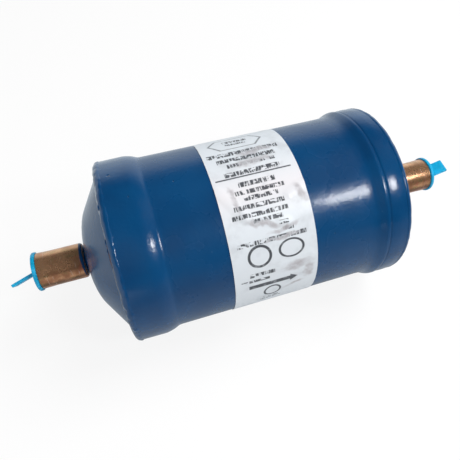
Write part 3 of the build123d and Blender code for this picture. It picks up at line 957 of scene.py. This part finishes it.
# %% Flat label with creases
CORNER_RADIUS = 3.0
low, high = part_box("label")
half_wide = (high.x - low.x) / MM / 2
half_long = math.pi * label_radius / 2
bpy.ops.object.select_all(action="DESELECT")
bpy.ops.mesh.primitive_plane_add(size=2.0, rotation=(math.radians(90), 0.0, 0.0))
sheet = bpy.context.object
sheet.name = sheet.data.name = "wrap_label"
sheet.scale = (half_wide * MM, half_long * MM, 1.0)
bpy.ops.object.transform_apply(location=False, rotation=True, scale=True)
bpy.ops.object.mode_set(mode="EDIT")
bpy.ops.mesh.select_all(action="SELECT")
bpy.ops.mesh.bevel(offset=CORNER_RADIUS * MM, segments=8, affect="VERTICES")
cut_across((0.0, 0.0, 1.0), 53)
cut_across((1.0, 0.0, 0.0), 15)
bpy.ops.mesh.select_all(action="SELECT")
bpy.ops.mesh.quads_convert_to_tris()
bpy.ops.mesh.subdivide(number_cuts=1)
crease(sheet, (-15.0, -20.0), (-8.0, -9.0), 0.30, 2.5)
crease(sheet, (-8.0, -9.0), (6.0, -4.5), 0.35, 2.5)
crease(sheet, (-9.0, -31.0), (8.0, -27.0), 0.30, 3.0)
crease(sheet, (9.0, -14.0), (15.0, -16.5), 0.30, 2.0)
crease(sheet, (1.0, 12.5), (13.0, 10.0), 0.30, 2.5)
bpy.ops.object.mode_set(mode="OBJECT")
print("flat label", round(2 * half_wide, 1), "by", round(2 * half_long, 1), "mm")

# %% [markdown]
# A Simple Deform modifier bends the sheet round X by half a turn. It comes out with its own middle at the
# front of a circle round the wrong line, so it is moved back by its radius to the body's axis, and then
# turned until its upper edge lies a little behind the top of the body.

# %% Bend the label round the body
WRAP_TURN = math.radians(-36.0)

bent = sheet.modifiers.new("wrap", "SIMPLE_DEFORM")
bent.deform_method = "BEND"
bent.deform_axis = "X"
bent.angle = math.pi
bpy.ops.object.modifier_apply(modifier="wrap")
sheet.location.y = -label_radius * MM
bpy.ops.object.transform_apply(location=True, rotation=False, scale=False)
sheet.rotation_euler.x = WRAP_TURN
sheet.location.x = (low.x + high.x) / 2
bpy.ops.object.transform_apply(location=True, rotation=True, scale=False)
print("label reaches", [round(c / MM, 2) for c in sheet.dimensions])

# %% [markdown]
# The bent sheet has no thickness, so its edge would vanish when seen from the side. Solidify gives it the
# thickness of film, inwards, so the outside stays where the solid label has it. Which way is inwards
# depends on the normals, so one face in the middle is asked.

# %% Label thickness
FILM_THICKNESS = 0.1

bpy.ops.object.mode_set(mode="EDIT")
bpy.ops.mesh.select_all(action="SELECT")
bpy.ops.mesh.normals_make_consistent(inside=False)
bpy.ops.object.mode_set(mode="OBJECT")
asked = sheet.data.polygons[len(sheet.data.polygons) // 2]
outside = asked.normal.dot(Vector((0.0, asked.center.y, asked.center.z))) > 0
film = sheet.modifiers.new("film", "SOLIDIFY")
film.thickness = FILM_THICKNESS * MM
film.offset = -1.0 if outside else 1.0
bpy.ops.object.modifier_apply(modifier="film")
bpy.ops.object.shade_smooth_by_angle(angle=SMOOTH_BELOW)
dress(sheet, "drier", printed, "label_film", "label")
print("label normals face outwards:", outside)

# %% [markdown]
# The parts inside the can are only seen when it is cut open, but each has its own finish all the same.
# The pressed plates and the spring are bare metal: rolling or drawing leaves fine lines, and the sheen is
# patchy. One function makes both, with the lines as its last value.


# %% Bare metal
def plain_metal(name, dark, bright, lines):
    """Bare steel with fine lines and a patchy sheen; lines stretches the pattern along each axis."""
    material, tree, surface = start_material(name)
    point = place_of(tree)
    patches = noise(tree, point, 120.0, 4.0, 0.6)
    tone = blend_colours(tree, ramp(tree, patches, 0.35, 0.65), dark, bright)
    fill(tree, surface.inputs["Base Color"], tone)
    surface.inputs["Metallic"].default_value = 1.0
    fill(tree, surface.inputs["Roughness"], ramp(tree, patches, 0.3, 0.7, 0.28, 0.46))
    drawn = noise(tree, stretched(tree, point, lines), 1.0, 2.0)
    fill(tree, surface.inputs["Normal"], bumps(tree, drawn, 0.01 * MM, 0.6))
    return material


steel = plain_metal("bare_steel", (0.36, 0.36, 0.37, 1.0), (0.52, 0.52, 0.53, 1.0), (200.0, 1500.0, 1500.0))
wire = plain_metal("spring_wire", (0.26, 0.26, 0.27, 1.0), (0.42, 0.42, 0.43, 1.0), (900.0, 300.0, 300.0))
print(steel.name, wire.name)

# %% [markdown]
# The screens are cloth of very fine wires, far too fine to model one by one. Two crossing waves raise the
# wires, and the low places between them are darkened, because they are holes.

# %% Woven wire
WIRES_PER_METRE = 1600.0
GAP = (0.04, 0.04, 0.04, 1.0)

cloth, tree, surface = start_material("wire_cloth")
point = place_of(tree)
x, y, z = axes_of(tree, point)
warp = compute(tree, "SINE", times(tree, y, math.tau * WIRES_PER_METRE))
weft = compute(tree, "SINE", times(tree, z, math.tau * WIRES_PER_METRE))
wires = larger(tree, warp, weft)
patches = noise(tree, point, 140.0, 3.0)
tone = blend_colours(tree, ramp(tree, patches, 0.3, 0.7), (0.34, 0.34, 0.35, 1.0), (0.46, 0.46, 0.45, 1.0))
tone = blend_colours(tree, ramp(tree, wires, 0.1, -0.5), tone, GAP)
fill(tree, surface.inputs["Base Color"], tone)
surface.inputs["Metallic"].default_value = 1.0
fill(tree, surface.inputs["Roughness"], ramp(tree, patches, 0.3, 0.7, 0.35, 0.5))
fill(tree, surface.inputs["Normal"], bumps(tree, wires, 0.05 * MM, 0.7))
print(cloth.name, len(tree.nodes), "nodes")

# %% [markdown]
# Felt and the moulded drying block are both matt and made of many small grains or fibres, so they share a
# function too, with their own colours, grain and depth.


# %% Felt and drying block
def grainy(name, dark, pale, grain, depth):
    """A matt body of fibres or grains of about one size."""
    material, tree, surface = start_material(name)
    point = place_of(tree)
    grains = noise(tree, point, grain, 5.0, 0.65)
    tone = blend_colours(tree, ramp(tree, grains, 0.3, 0.7), dark, pale)
    patches = ramp(tree, noise(tree, point, 45.0, 3.0), 0.4, 0.7, 0.0, 0.4)
    fill(tree, surface.inputs["Base Color"], blend_colours(tree, patches, tone, dark))
    fill(tree, surface.inputs["Roughness"], ramp(tree, grains, 0.3, 0.7, 0.8, 0.95))
    fill(tree, surface.inputs["Normal"], bumps(tree, grains, depth * MM, 0.7))
    return material


felt = grainy("felt", (0.58, 0.56, 0.50, 1.0), (0.84, 0.82, 0.76, 1.0), 900.0, 0.15)
block = grainy("drying_block", (0.56, 0.50, 0.40, 1.0), (0.78, 0.72, 0.61, 1.0), 600.0, 0.12)
print(felt.name, block.name)

# %% [markdown]
# The solids inside already have the right shape, so they stay as they are. Only the material in their
# slot is changed.

# %% Finishes inside the can
FINISHES = {"outlet_plate": steel, "pressure_plate": steel, "spring": wire, "outlet_screen": cloth,
            "inlet_screen": cloth, "filter_pad": felt, "inlet_pad": felt, "core": block}

for node, finish in FINISHES.items():
    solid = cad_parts[node]
    solid.data.materials.clear()
    solid.data.materials.append(finish)
print("finishes inside", len(FINISHES))

# %% [markdown]
# Last, the size of the box of the solids is printed. Then the frame is checked and closed.

# %% Size of the solids
print("solids", [round(c / MM, 1) for c in (cad_box[1] - cad_box[0])])
